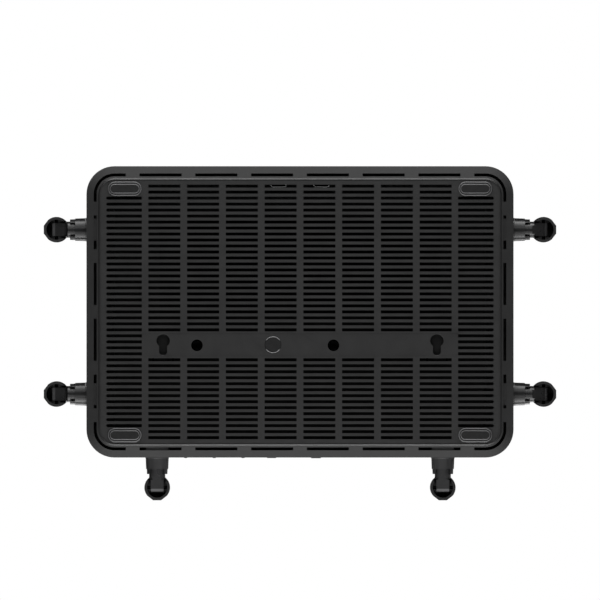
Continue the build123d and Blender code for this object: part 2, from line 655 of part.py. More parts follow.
with BuildPart() as thermal_pads:
    with BuildSketch(at_height(BOARD_TOP_Z + SHIELD_HEIGHT)):
        for shield_x, shield_side in SHIELDS.values():
            with Locations((shield_x, HEAT_Y)):
                Rectangle(shield_side - 2 * PAD_MARGIN, shield_side - 2 * PAD_MARGIN)
    extrude(amount=PAD_THICKNESS)
save(thermal_pads, "thermal_pads")

SINK_Z = BOARD_TOP_Z + SHIELD_HEIGHT + PAD_THICKNESS
SINK_BASE = 2.0
FIN_SIZE = (1.4, SINK_SIZE[1] - 2)
FIN_HEIGHT = 8.0
FIN_PITCH = 6.2
FIN_COUNT = 27
with BuildPart() as heatsink:
    with BuildSketch(at_height(SINK_Z)):
        with Locations((0, HEAT_Y)):
            RectangleRounded(*SINK_SIZE, SINK_CORNER_R)
    extrude(amount=SINK_BASE)
    with BuildSketch(at_height(SINK_Z + SINK_BASE)):
        with Locations((0, HEAT_Y)):
            with GridLocations(FIN_PITCH, 1, FIN_COUNT, 1):
                Rectangle(*FIN_SIZE)
    extrude(amount=FIN_HEIGHT)
save(heatsink, "heatsink")

SPREADER_THICKNESS = 1.0
SPREADER_PAD = (60.0, 40.0)
with BuildPart() as heat_spreader:
    with BuildSketch(at_height(BOARD_Z - SPREADER_THICKNESS - PAD_THICKNESS)):
        with Locations((0, HEAT_Y)):
            RectangleRounded(*SINK_SIZE, SINK_CORNER_R)
    extrude(amount=SPREADER_THICKNESS)
    with BuildSketch(at_height(BOARD_Z - PAD_THICKNESS)):
        with Locations((0, HEAT_Y)):
            Rectangle(*SPREADER_PAD)
    extrude(amount=PAD_THICKNESS)
save(heat_spreader, "heat_spreader")

# ---------------------------------------------------------------- fasteners, feet and small parts
with BuildPart() as case_screws:
    with BuildSketch(at_height(WELL_TOP_Z - SCREW_HEAD)):
        with Locations(*CASE_SCREWS_AT):
            Circle(SCREW_HEAD_R)
    extrude(amount=SCREW_HEAD)
    with BuildSketch(at_height(WELL_TOP_Z)):
        with Locations(*CASE_SCREWS_AT):
            Circle(SCREW_R)
    extrude(amount=SCREW_LENGTH)
    with BuildSketch(at_height(WELL_TOP_Z - SCREW_HEAD)):
        with Locations(*CASE_SCREWS_AT):
            RegularPolygon(HEX_R, 6)
    extrude(amount=HEX_DEPTH, mode=Mode.SUBTRACT)
save(case_screws, "case_screws")

with BuildPart() as board_screws:
    with BuildSketch(at_height(BOARD_TOP_Z - BOARD_SCREW_LENGTH)):
        with Locations(*BOARD_SCREWS_AT):
            Circle(BOARD_SCREW_R)
    extrude(amount=BOARD_SCREW_LENGTH)
    with BuildSketch(at_height(BOARD_TOP_Z)):
        with Locations(*BOARD_SCREWS_AT):
            Circle(BOARD_SCREW_HEAD[0])
    extrude(amount=BOARD_SCREW_HEAD[1])
save(board_screws, "board_screws")

with BuildPart() as seal_disc:
    with BuildSketch(at_height(TRAY_Z + STRIP_DEPTH - SEAL_PROUD)):
        with Locations(SEAL_AT):
            Circle(SEAL_R)
    extrude(amount=SEAL_PROUD + SEAL_RECESS)
    chamfer(seal_disc.faces().sort_by(Axis.Z)[0].edges(), SEAL_BEVEL)
save(seal_disc, "seal_disc")

for foot_name, foot_x, foot_y in (("foot_left_front", -1, -1), ("foot_left_rear", -1, 1),
                                  ("foot_right_front", 1, -1), ("foot_right_rear", 1, 1)):
    foot_place = Location((foot_x * FOOT_AT[0], foot_y * FOOT_AT[1]))
    with BuildPart() as foot:
        with BuildSketch(at_height(FOOT_PAD_HEIGHT)):
            with Locations(foot_place):
                SlotOverall(*FOOT_SIZE)
        extrude(amount=TRAY_Z + FOOT_RECESS - FOOT_PAD_HEIGHT)
        chamfer(foot.faces().sort_by(Axis.Z)[0].edges(), FOOT_BEVEL)
        with BuildSketch(at_height(0)):
            with Locations(foot_place):
                SlotOverall(*FOOT_PAD)
        extrude(amount=FOOT_PAD_HEIGHT)
        chamfer(foot.faces().sort_by(Axis.Z)[0].edges(), FOOT_PAD_BEVEL)
    save(foot, foot_name)

for pipe_name, pipe_at in PIPES_AT.items():
    with BuildPart() as light_pipe:
        with BuildSketch(at_height(PIPE_FOOT_Z)):
            with Locations(pipe_at):
                SlotOverall(*PIPE_SIZE)
        extrude(amount=CASE_TOP_Z - PIPE_FOOT_Z)
    save(light_pipe, pipe_name)

# ---------------------------------------------------------------- antennas


def antenna_socket(name, plane):
    """Fixed socket: clamped between the covers, with a flange and a stepped cone outside the wall."""
    with BuildPart() as socket:
        with BuildSketch(upright(plane)):
            with BuildLine():
                Polyline(
                    (-SOCKET_IN, 0), (-SOCKET_IN, SOCKET_INNER_R), (-WALL, SOCKET_INNER_R),
                    (-WALL, SOCKET_SEAT_R), (0, SOCKET_SEAT_R), (0, SOCKET_FLANGE_R),
                    (SOCKET_FLANGE - SOCKET_FLANGE_BEVEL, SOCKET_FLANGE_R), (SOCKET_FLANGE, SOCKET_COLLAR_R),
                    (SOCKET_STEP_OUT, SOCKET_STEP_R), (SOCKET_STEP_OUT, SOCKET_NOSE_R),
                    (SOCKET_END_OUT, SOCKET_END_R), (SOCKET_END_OUT, 0), close=True)
            make_face()
        revolve(axis=Axis(plane.origin, plane.x_dir))
        with BuildSketch(across(outward(plane, -SOCKET_IN))):
            Circle(NECK_R + RUNNING_FIT)
        extrude(amount=SOCKET_IN + SOCKET_END_OUT, mode=Mode.SUBTRACT)
        # the lower half ends at the step, so two ears are left beside the neck
        with BuildSketch(across(outward(plane, SOCKET_STEP_OUT))):
            with Locations((0, -SOCKET_FLANGE_R / 2)):
                Rectangle(2 * EAR_WINDOW, SOCKET_FLANGE_R)
        extrude(amount=SOCKET_END_OUT, mode=Mode.SUBTRACT)
    save(socket, name)


def antenna_knuckle(name, plane):
    """Neck that turns in the socket, with a retaining flange inside and a tongue outside."""
    tongue_length = TONGUE_END_OUT - NECK_ROUND_OUT
    with BuildPart() as knuckle:
        # the flattened part of the neck and the tongue, with a rounded nose
        with BuildSketch(upright(plane)) as side_view:
            with Locations(((NECK_ROUND_OUT + TONGUE_END_OUT) / 2, 0)):
                Rectangle(tongue_length, 2 * TONGUE_HALF_HEIGHT)
            fillet(side_view.vertices().sort_by(Axis(plane.origin, plane.x_dir))[-2:], TONGUE_NOSE_R)
        extrude(amount=NECK_R, both=True)
        with BuildSketch(plane.offset(-NECK_R)):
            with BuildLine():
                Polyline(
                    (NECK_ROUND_OUT, NECK_R), (NECK_END_OUT, NECK_R), (NECK_END_OUT, TONGUE_HALF_WIDTH),
                    (HINGE_OUT, TONGUE_HALF_WIDTH), (TONGUE_END_OUT, TONGUE_END_HALF_WIDTH),
                    (TONGUE_END_OUT, -TONGUE_END_HALF_WIDTH), (HINGE_OUT, -TONGUE_HALF_WIDTH),
                    (NECK_END_OUT, -TONGUE_HALF_WIDTH), (NECK_END_OUT, -NECK_R),
                    (NECK_ROUND_OUT, -NECK_R), close=True)
            make_face()
        extrude(amount=2 * NECK_R, mode=Mode.INTERSECT)
        # round the corners of the flattened part to the neck's own radius
        with BuildSketch(across(outward(plane, NECK_ROUND_OUT))):
            Circle(2 * NECK_R)
            Circle(NECK_R, mode=Mode.SUBTRACT)
        extrude(amount=NECK_END_OUT - NECK_ROUND_OUT, mode=Mode.SUBTRACT)
        with BuildSketch(across(outward(plane, -SOCKET_IN - RETAINER_GAP - RETAINER_THICKNESS))):
            Circle(RETAINER_R)
        extrude(amount=RETAINER_THICKNESS)
        with BuildSketch(across(outward(plane, -SOCKET_IN - RETAINER_GAP))):
            Circle(NECK_R)
        extrude(amount=SOCKET_IN + RETAINER_GAP + NECK_ROUND_OUT)
        with BuildSketch(upright(plane)):
            with Locations((HINGE_OUT, 0)):
                Circle(PIN_R + RUNNING_FIT)
        extrude(amount=NECK_R, both=True, mode=Mode.SUBTRACT)
    save(knuckle, name)


def blade_profile(back, tangent, front, flat_half):
    """Outline of the blade: a round back, two flanks and a flat outer facet."""
    Line(tangent, (front, flat_half))
    Line((front, flat_half), (front, -flat_half))
    Line((front, -flat_half), (tangent[0], -tangent[1]))
    ThreePointArc((tangent[0], -tangent[1]), (-back, 0), tangent)


flank_angle = math.radians(BLADE_FLANK_ANGLE)
ROOT_TANGENT = (BLADE_R * math.cos(flank_angle), BLADE_R * math.sin(flank_angle))
TIP_BACK = 3.4
TIP_TANGENT = (0.4, 6.4)
TIP_FRONT = 2.7
TIP_FLAT_HALF = 4.9
TIP_ROUND = 1.6


def hinge_cheeks(hinge):
    """Discs inside the shell that hold the pin, each with an entry slot from below."""
    with BuildPart() as cheeks:
        with BuildSketch(hinge.offset(-CHEEK_R)):
            Circle(BLADE_R - BLADE_LIP / 2)
        extrude(amount=2 * CHEEK_R)
        with BuildSketch(upright(hinge)):
            Circle(CHEEK_R)
        extrude(amount=BLADE_R, both=True, mode=Mode.INTERSECT)
        with BuildSketch(upright(hinge)):
            Circle(2 * CHEEK_R)
        extrude(amount=CHEEK_FACE, both=True, mode=Mode.SUBTRACT)
        with BuildSketch(hinge.offset(-CHEEK_R)):
            Rectangle(PIN_ENTRY, 2 * BLADE_R)
        extrude(amount=CHEEK_R, mode=Mode.SUBTRACT)
    return cheeks.part


def antenna_blade(name, plane):
    """Blade shell: a round root open at the foot, drawn out to a flat paddle."""
    hinge = outward(plane, HINGE_OUT)
    cheeks = hinge_cheeks(hinge)
    with BuildPart() as blade:
        with BuildSketch(hinge.offset(-BLADE_FOOT)):
            with BuildLine():
                blade_profile(BLADE_R, ROOT_TANGENT, BLADE_FLAT, BLADE_FLAT_HALF)
            make_face()
        extrude(amount=BLADE_FOOT + BLADE_ROOT_TOP)
        # round the inner lower corner, so that the foot clears the socket as the blade folds
        with BuildSketch(upright(hinge)):
            with Locations((-BLADE_R / 2, -BLADE_R / 2)):
                Rectangle(BLADE_R + 1, BLADE_R)
            Circle(BLADE_R, mode=Mode.SUBTRACT)
            with Locations((BLADE_R / 2, -BLADE_R / 2)):
                Rectangle(BLADE_R, 2 * BLADE_R, mode=Mode.SUBTRACT)
        extrude(amount=BLADE_R, both=True, mode=Mode.SUBTRACT)
        with BuildSketch(hinge.offset(BLADE_ROOT_TOP)):
            with BuildLine():
                blade_profile(BLADE_R, ROOT_TANGENT, BLADE_FLAT, BLADE_FLAT_HALF)
            make_face()
        with BuildSketch(hinge.offset(BLADE_TIP)):
            with BuildLine():
                blade_profile(TIP_BACK, TIP_TANGENT, TIP_FRONT, TIP_FLAT_HALF)
            make_face()
        loft()
        fillet(blade.faces().sort_by(Axis.Z)[-1].edges(), TIP_ROUND)

        # hollow foot, open below and towards the case
        with BuildSketch(hinge.offset(-BLADE_FOOT)):
            Circle(BLADE_R - BLADE_LIP)
        extrude(amount=BLADE_FOOT + BLADE_CAVITY_TOP, mode=Mode.SUBTRACT)
        with BuildSketch(upright(hinge)):
            with Locations((-BLADE_R, (BLADE_SLOT_TOP - BLADE_FOOT) / 2)):
                Rectangle(2 * BLADE_R, BLADE_SLOT_TOP + BLADE_FOOT)
        extrude(amount=BLADE_SLOT, both=True, mode=Mode.SUBTRACT)
        add(cheeks)
        with BuildSketch(upright(hinge)):
            Circle(PIN_R)
        extrude(amount=PIN_HALF_LENGTH, both=True, mode=Mode.SUBTRACT)

        # slot for the radiator
        with BuildSketch(hinge):
            Rectangle(*CHANNEL)
        extrude(amount=CHANNEL_TOP, mode=Mode.SUBTRACT)
    save(blade, name)


def antenna_pin(name, plane):
    """Hinge pin: held in the shell's bosses, free in the tongue."""
    with BuildPart() as pin:
        with BuildSketch(upright(outward(plane, HINGE_OUT))):
            Circle(PIN_R)
        extrude(amount=PIN_HALF_LENGTH, both=True)
    save(pin, name)


def antenna_radiator(name, plane):
    """Flat strip that stands in the blade's slot."""
    with BuildPart() as radiator:
        with BuildSketch(outward(plane, HINGE_OUT).offset(RADIATOR_FROM)):
            Rectangle(*RADIATOR)
        extrude(amount=RADIATOR_TO - RADIATOR_FROM)
    save(radiator, name)


for side, place in ANTENNAS.items():
    antenna_socket(f"socket_{side}", place)
    antenna_knuckle(f"knuckle_{side}", place)
    antenna_blade(f"blade_{side}", place)
    antenna_pin(f"pin_{side}", place)
    antenna_radiator(f"radiator_{side}", place)

# ---------------------------------------------------------------- coax inside the case
# Each lead runs from behind a socket, down and in to a connector on the board.
LEAD_GAP = 0.6                      # behind the knuckle's retaining flange
LEAD_START_IN = SOCKET_IN + RETAINER_GAP + RETAINER_THICKNESS + LEAD_GAP
LEAD_LEVEL_IN = LEAD_START_IN + 7.0
LEAD_LOW_IN = LEAD_START_IN + 14.0
LEAD_SAG = 0.6
LEAD_RISE = 0.9
LEAD_END_IN = 33.0
LEAD_SHIFT = 5.0
LEAD_END_Z = 1.1
LEAD_BEND_SHARE = 0.45              # part of the shorter side that a bend may use
CONNECTOR_R = 1.3
CONNECTOR_HEIGHT = 1.8


def lead_points(plane):
    """Route of one lead as points in the shared frame, chosen by hand for an easy bend."""
    drop = SPLIT_Z - BOARD_TOP_Z - LEAD_END_Z
    route = [(LEAD_START_IN, 0, 0), (LEAD_LEVEL_IN, LEAD_SAG, -LEAD_SAG),
             (LEAD_LOW_IN, LEAD_SHIFT - 2, LEAD_RISE - drop), (LEAD_END_IN - CONNECTOR_R, LEAD_SHIFT, -drop)]
    return [plane.from_local_coords(Vector(-inward, aside, up)) for inward, aside, up in route]


with BuildPart() as coax_sockets:
    for place in ANTENNAS.values():
        foot_point = place.from_local_coords(Vector(-LEAD_END_IN, LEAD_SHIFT, 0))
        with BuildSketch(Plane((foot_point.X, foot_point.Y, BOARD_TOP_Z))):
            Circle(CONNECTOR_R)
        extrude(amount=CONNECTOR_HEIGHT)
save(coax_sockets, "coax_sockets")

with BuildPart() as coax_leads:
    for place in ANTENNAS.values():
        points = lead_points(place)
        radii = []
        for before, corner, after in zip(points, points[1:], points[2:]):
            turn = math.radians((corner - before).get_angle(after - corner))
            shorter = min((corner - before).length, (after - corner).length)
            radii.append(LEAD_BEND_SHARE * shorter / math.tan(turn / 2))
        with BuildLine() as lead_path:
            FilletPolyline(*points, radius=radii)
        with BuildSketch(Plane(lead_path.line @ 0, z_dir=lead_path.line % 0)):
            Circle(LEAD_R)
        sweep(path=lead_path.line)
        length = sum(edge.length for edge in lead_path.edges())
    print("lead bend radii", [round(radius, 1) for radius in radii])
    print("leads", coax_leads.part.volume, "expected", len(ANTENNAS) * length * math.pi * LEAD_R**2)
save(coax_leads, "coax_leads")
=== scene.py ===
"""Looks, light and camera for the six-antenna router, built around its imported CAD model."""

import math

import bmesh
import bpy
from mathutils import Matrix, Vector
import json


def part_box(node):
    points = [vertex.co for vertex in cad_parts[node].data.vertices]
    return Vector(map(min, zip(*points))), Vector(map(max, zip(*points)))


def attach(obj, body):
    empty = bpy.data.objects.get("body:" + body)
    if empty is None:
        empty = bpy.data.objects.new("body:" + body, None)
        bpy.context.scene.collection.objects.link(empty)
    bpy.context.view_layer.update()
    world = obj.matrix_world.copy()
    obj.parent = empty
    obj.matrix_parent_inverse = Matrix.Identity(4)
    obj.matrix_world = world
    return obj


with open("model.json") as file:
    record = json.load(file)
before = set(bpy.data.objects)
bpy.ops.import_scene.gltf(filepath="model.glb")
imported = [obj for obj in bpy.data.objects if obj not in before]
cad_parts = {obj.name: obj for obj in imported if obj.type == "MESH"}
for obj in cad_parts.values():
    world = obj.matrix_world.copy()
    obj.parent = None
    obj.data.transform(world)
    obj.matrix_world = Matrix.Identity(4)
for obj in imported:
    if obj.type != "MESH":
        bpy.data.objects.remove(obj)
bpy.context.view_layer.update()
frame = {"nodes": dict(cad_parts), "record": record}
nodes = frame["nodes"]
MM = 0.001
MM_PER_METRE = 1000.0
NETWORK_PORTS = ("rj45_lan_3", "rj45_lan_2", "rj45_lan_1", "rj45_wan")
case_low, case_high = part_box("bottom_cover")
case_middle = (case_low + case_high) / 2

# Lengths in the materials are in millimetres.
CASE_MIDDLE_Y = case_middle.y / MM
CASE_HALF_X = (case_high.x - case_low.x) / 2 / MM
CASE_HALF_Y = (case_high.y - case_low.y) / 2 / MM
SLOW_TONE = 38.0                    # size of the slow changes of tone across a moulding
SCUFF = 9.0                         # size of the changes of gloss
CHAMFER_LEAN = 0.6                  # upward part of a chamfer's direction, and how far it may differ
CHAMFER_HALF = 0.28


# ------------------------------------------------------------------ node helpers
class Shader:
    """A Principled material under construction, with its coordinates in millimetres."""

    def __init__(self, name):
        self.material = bpy.data.materials.new(name)
        self.material.use_nodes = True
        self.tree = self.material.node_tree
        self.surface = self.tree.nodes["Principled BSDF"]
        coordinates = self.add("ShaderNodeTexCoord")
        scaled = self.add("ShaderNodeVectorMath", operation="SCALE")
        scaled.inputs["Scale"].default_value = MM_PER_METRE
        self.link(coordinates.outputs["Object"], scaled.inputs[0])
        self.place = scaled.outputs[0]

    def add(self, kind, **settings):
        node = self.tree.nodes.new(kind)
        for key, value in settings.items():
            setattr(node, key, value)
        return node

    def link(self, source, target):
        self.tree.links.new(source, target)

    def noise(self, size, detail=2.0, roughness=0.5, stretch=(1, 1, 1)):
        """Fractal noise with features about size millimetres across, from 0 to 1."""
        mapping = self.add("ShaderNodeMapping")
        mapping.inputs["Scale"].default_value = stretch
        texture = self.add("ShaderNodeTexNoise")
        texture.inputs["Scale"].default_value = 1.0 / size
        texture.inputs["Detail"].default_value = detail
        texture.inputs["Roughness"].default_value = roughness
        self.link(self.place, mapping.inputs["Vector"])
        self.link(mapping.outputs[0], texture.inputs["Vector"])
        return texture.outputs["Fac"]

    def ramp(self, value, low, high, at=(0.3, 0.7)):
        """Map a value onto a number or a colour, flat outside the two stops."""
        is_colour = hasattr(low, "__len__")
        if is_colour:
            node = self.add("ShaderNodeValToRGB")
            first, last = node.color_ramp.elements
            first.position, last.position = at
            first.color, last.color = (*low, 1), (*high, 1)
            self.link(value, node.inputs[0])
            return node.outputs["Color"]
        node = self.add("ShaderNodeMapRange")
        for key, number in zip(("From Min", "From Max", "To Min", "To Max"), (*at, low, high)):
            node.inputs[key].default_value = number
        self.link(value, node.inputs["Value"])
        return node.outputs["Result"]

    def bump(self, height, distance, strength=1.0, base=None):
        """Bump of a height field; distance is in millimetres."""
        node = self.add("ShaderNodeBump")
        node.inputs["Distance"].default_value = distance * MM
        node.inputs["Strength"].default_value = strength
        self.link(height, node.inputs["Height"])
        if base is not None:
            self.link(base, node.inputs["Normal"])
        return node.outputs["Normal"]

    def math(self, operation, first, second=None, clamp=False):
        """One arithmetic step; either input may be a socket or a number."""
        node = self.add("ShaderNodeMath", operation=operation, use_clamp=clamp)
        for index, value in enumerate((first, second)):
            if isinstance(value, (int, float)):
                node.inputs[index].default_value = value
            elif value is not None:
                self.link(value, node.inputs[index])
        return node.outputs[0]

    def axes(self):
        """The place in millimetres as three sockets."""
        split = self.add("ShaderNodeSeparateXYZ")
        self.link(self.place, split.inputs[0])
        return split.outputs[0], split.outputs[1], split.outputs[2]

    def within(self, value, middle, half, soft=0.2):
        """1 where value is nearer than half to middle, falling to 0 over soft."""
        away = self.math("ABSOLUTE", self.math("SUBTRACT", value, middle))
        return self.ramp(away, 1.0, 0.0, at=(half, half + soft))

    def rounded(self, x, y, half_x, half_y, corner):
        """1 inside a rounded rectangle about the origin."""
        squares = []
        for value, half in ((x, half_x), (y, half_y)):
            over = self.math("SUBTRACT", self.math("ABSOLUTE", value), half - corner)
            over = self.math("MAXIMUM", over, 0.0)
            squares.append(self.math("MULTIPLY", over, over))
        away = self.math("SQRT", self.math("ADD", *squares))
        return self.ramp(away, 1.0, 0.0, at=(corner - 0.1, corner + 0.1))

    def mix_colour(self, amount, first, second):
        node = self.add("ShaderNodeMix", data_type="RGBA")
        self.link(amount, node.inputs["Factor"])
        self.link(first, node.inputs[6])
        node.inputs[7].default_value = (*second, 1)
        return node.outputs[2]

    def tilted(self):
        """1 on chamfers and other faces that lean between level and upright, the mask of the painted
        chamfer highlights.
        """
        facing = self.add("ShaderNodeNewGeometry")
        split = self.add("ShaderNodeSeparateXYZ")
        self.link(facing.outputs["True Normal"], split.inputs[0])
        upright = self.math("ABSOLUTE", split.outputs[2])
        return self.within(upright, CHAMFER_LEAN, CHAMFER_HALF, soft=0.04)

    def normal(self):
        """The surface direction in the piece's own frame as three sockets."""
        coordinates = self.add("ShaderNodeTexCoord")
        split = self.add("ShaderNodeSeparateXYZ")
        self.link(coordinates.outputs["Normal"], split.inputs[0])
        return split.outputs[0], split.outputs[1], split.outputs[2]

    def finish(self, colour=None, roughness=None, normal=None, **constants):
        for key, value in constants.items():
            self.surface.inputs[key.replace("_", " ")].default_value = value
        for key, value in (("Base Color", colour), ("Roughness", roughness), ("Normal", normal)):
            if value is not None:
                self.link(value, self.surface.inputs[key])
        return self.material


def shade(grey):
    """A near-neutral grey with the faint cool cast of carbon-black plastic."""
    return (grey, grey, grey * 1.02)


def moulded(name, grey, roughness, grain=0.35, depth=0.012, spread=0.12, specular=0.5):
    """Injection-moulded plastic: spark-eroded grain, slow gloss changes and faint handling marks."""
    s = Shader(name)
    slow = s.noise(SLOW_TONE, detail=3.0)
    scuff = s.noise(SCUFF, detail=5.0, roughness=0.62)
    fine = s.noise(grain, detail=2.0, roughness=0.6)
    colour = s.ramp(slow, shade(grey * (1 - spread)), shade(grey * (1 + spread)))
    rough = s.ramp(scuff, roughness - 0.04, roughness + 0.05)
    normal = s.bump(fine, depth)
    return s.finish(colour, rough, normal, Specular_IOR_Level=specular)


# Where the painted shade inside the case begins, as half sizes about the case's middle, and heights.
TRAY_HALF_X = CASE_HALF_X - 9.8
TRAY_HALF_Y = CASE_HALF_Y - 9.55
TRAY_CORNER = 10.0
TRAY_SLOTS_FROM = 2.5
TRAY_SLOTS_FULL = 2.9
ROOM_HALF_X = CASE_HALF_X - 2.5
ROOM_HALF_Y = CASE_HALF_Y - 2.45
ROOM_CORNER = 14.5
ROOM_FROM = 5.1
ROOM_FULL = 5.4
ROOF_FROM = 31.8
ROOF_FULL = 32.0
KEYHOLE_X = 83.0
KEYHOLE_Y = 20.75                   # behind the case's middle
KEYHOLE_HALF_X = 5.4
KEYHOLE_HALF_Y = 8.6
KEYHOLE_SHADE = 0.55                # the keyhole pockets are shallow, so less dark than the slots
SEAM_Z = case_high.z / MM           # the covers part at the top of the bottom cover
SEAM_HALF = 0.10
SHADOW_GREY = 0.0015
OUTSIDE_GLOSS = 0.95
INSIDE_GLOSS = 0.04


def painted_shade_inside(s, x, y, z):
    """Painted shade: 1 on the faces inside the case, less in the keyhole pockets, and 0 on the outside.
    """
    tray = s.rounded(x, y, TRAY_HALF_X, TRAY_HALF_Y, TRAY_CORNER)
    tray = s.math("MULTIPLY", tray, s.ramp(z, 0.0, 1.0, at=(TRAY_SLOTS_FROM, TRAY_SLOTS_FULL)))
    room = s.rounded(x, y, ROOM_HALF_X, ROOM_HALF_Y, ROOM_CORNER)
    room = s.math("MULTIPLY", room, s.ramp(z, 0.0, 1.0, at=(ROOM_FROM, ROOM_FULL)))
    below_roof = s.ramp(z, 1.0, 0.0, at=(ROOF_FROM, ROOF_FULL))
    inside = s.math("MULTIPLY", s.math("MAXIMUM", tray, room), below_roof)
    keyholes = s.within(s.math("ABSOLUTE", x), KEYHOLE_X, KEYHOLE_HALF_X)
    keyholes = s.math("MULTIPLY", keyholes, s.within(y, KEYHOLE_Y, KEYHOLE_HALF_Y))
    return s.math("MULTIPLY", inside, s.ramp(keyholes, 1.0, KEYHOLE_SHADE, at=(0.0, 1.0)))


def cover_plastic(name, grey, roughness):
    """Case plastic: grained outside, with painted shade inside the case (near black and less glossy),
    and a shadow line where the covers part.
    """
    s = Shader(name)
    x, y, z = s.axes()
    seam = s.within(z, SEAM_Z, SEAM_HALF, soft=0.12)
    # Painted shade: inside the case and along the shadow line at the seam, the colour is mixed towards a
    # near-black grey and the gloss is lowered.
    dark = s.math("MAXIMUM", painted_shade_inside(s, x, s.math("SUBTRACT", y, CASE_MIDDLE_Y), z), seam)
    face = s.ramp(s.noise(SLOW_TONE, detail=3.0), shade(grey * 0.9), shade(grey * 1.1))
    colour = s.mix_colour(dark, face, shade(SHADOW_GREY))
    rough = s.ramp(s.noise(SCUFF, detail=5.0, roughness=0.62), roughness - 0.04, roughness + 0.05)
    gloss = s.ramp(dark, OUTSIDE_GLOSS, INSIDE_GLOSS, at=(0.0, 1.0))
    s.link(gloss, s.surface.inputs["Specular IOR Level"])
    grain = s.bump(s.noise(0.35, detail=2.0, roughness=0.6), 0.012)
    return s.finish(colour, rough, grain)


def bevelled(name, grey, chamfer_highlight_grey, roughness, grain, depth, ends_only=False):
    """Small moulded piece with a painted highlight on its chamfers, paler than its faces; ends_only
    keeps those facing +-Y.
    """
    s = Shader(name)
    bevel = s.tilted()
    if ends_only:
        lean = s.math("ABSOLUTE", s.normal()[1])
        bevel = s.math("MULTIPLY", bevel, s.ramp(lean, 0.0, 1.0, at=(0.35, 0.5)))
    face = s.ramp(s.noise(3.0, detail=4.0), shade(grey * 0.85), shade(grey * 1.15))
    # Painted highlight: the chamfers are mixed towards a pale grey.
    colour = s.mix_colour(bevel, face, shade(chamfer_highlight_grey))
    worn = s.ramp(s.noise(1.2, detail=5.0), roughness - 0.05, roughness + 0.06)
    return s.finish(colour, worn, s.bump(s.noise(grain), depth), Specular_IOR_Level=0.4)


def hinge_plastic(name, grey, strip_highlight_grey, roughness, axis, strip_at, specular):
    """Plastic of the necks and tongues, with a painted highlight: a paler strip under the tongue's end.

    The painted highlight strip is only a tone. It lies at strip_at along the axis, whatever the shape
    there.
    """
    s = Shader(name)
    highlight_near_end = s.within(s.math("ABSOLUTE", s.axes()[axis]), strip_at, HIGHLIGHT_STRIP_HALF, soft=0.4)
    under = s.ramp(s.normal()[2], 1.0, 0.0, at=(-0.3, -0.1))
    colour = s.ramp(s.noise(SLOW_TONE, detail=3.0), shade(grey * 0.9), shade(grey * 1.1))
    # Painted highlight: the strip under the tongue's end is mixed towards a paler grey.
    colour = s.mix_colour(s.math("MULTIPLY", highlight_near_end, under), colour, shade(strip_highlight_grey))
    rough = s.ramp(s.noise(SCUFF, detail=5.0), roughness - 0.04, roughness + 0.05)
    return s.finish(colour, rough, s.bump(s.noise(0.5), 0.004), Specular_IOR_Level=specular)


def rubber(name, grey):
    """Matt rubber with a little dust."""
    s = Shader(name)
    colour = s.ramp(s.noise(3.0, detail=4.0), shade(grey * 0.8), shade(grey * 1.2))
    dust = s.ramp(s.noise(1.2, detail=5.0), 0.66, 0.82)
    return s.finish(colour, dust, s.bump(s.noise(0.25), 0.02), Specular_IOR_Level=0.35)


def metal(name, colour, roughness, brush=(1, 1, 1), size=0.4, depth=0.004):
    """Brushed or cast metal; brush stretches the streaks along one axis."""
    s = Shader(name)
    streak = s.noise(size, detail=3.0, stretch=brush)
    tint = s.ramp(s.noise(12.0), tuple(c * 0.9 for c in colour), colour)
    rough = s.ramp(streak, roughness - 0.06, roughness + 0.08)
    return s.finish(tint, rough, s.bump(streak, depth), Metallic=1.0)


def solder_mask(name):
    """Black board with a faint pattern of copper runs under the mask."""
    s = Shader(name)
    brick = s.add("ShaderNodeTexBrick")
    brick.inputs["Scale"].default_value = 0.35
    brick.inputs["Mortar Size"].default_value = 0.06
    s.link(s.place, brick.inputs["Vector"])
    runs = s.ramp(brick.outputs["Fac"], (0.004, 0.004, 0.004), (0.009, 0.009, 0.009), at=(0.2, 0.8))
    return s.finish(runs, s.ramp(s.noise(6.0), 0.34, 0.46), s.bump(brick.outputs["Fac"], 0.03),
                    Specular_IOR_Level=0.3)


# Heights in millimetres where the light pipe turns from near black below to pale above.
DARK_BELOW_FULL = 29.0
DARK_BELOW_TOP = 30.0


def frosted(name):
    """Light pipe: pale where it shows in the top cover, and dark below."""
    s = Shader(name)
    rough = s.ramp(s.noise(0.6), 0.3, 0.5)
    dark_below = s.ramp(s.axes()[2], 1.0, 0.0, at=(DARK_BELOW_FULL, DARK_BELOW_TOP))
    colour = s.ramp(s.noise(4.0), (0.5, 0.52, 0.54), (0.62, 0.64, 0.66))
    s.link(s.ramp(dark_below, 0.5, 0.02, at=(0.0, 1.0)), s.surface.inputs["Specular IOR Level"])
    return s.finish(s.mix_colour(dark_below, colour, shade(0.003)), rough,
                    s.bump(s.noise(0.3), 0.006), IOR=1.49)


X_AXIS = 0
Y_AXIS = 1
# Half width and places of the painted highlight strip on the side and rear tongues.
HIGHLIGHT_STRIP_HALF = 0.55
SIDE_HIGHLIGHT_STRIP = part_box("knuckle_right_front")[1].x / MM - 1.1
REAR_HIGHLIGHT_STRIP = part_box("knuckle_rear_right")[1].y / MM - 1.15


def smooth_plastic(name, grey, roughness, specular):
    """Smooth moulded plastic of the antenna sockets."""
    return moulded(name, grey, roughness, grain=0.5, depth=0.004, specular=specular)


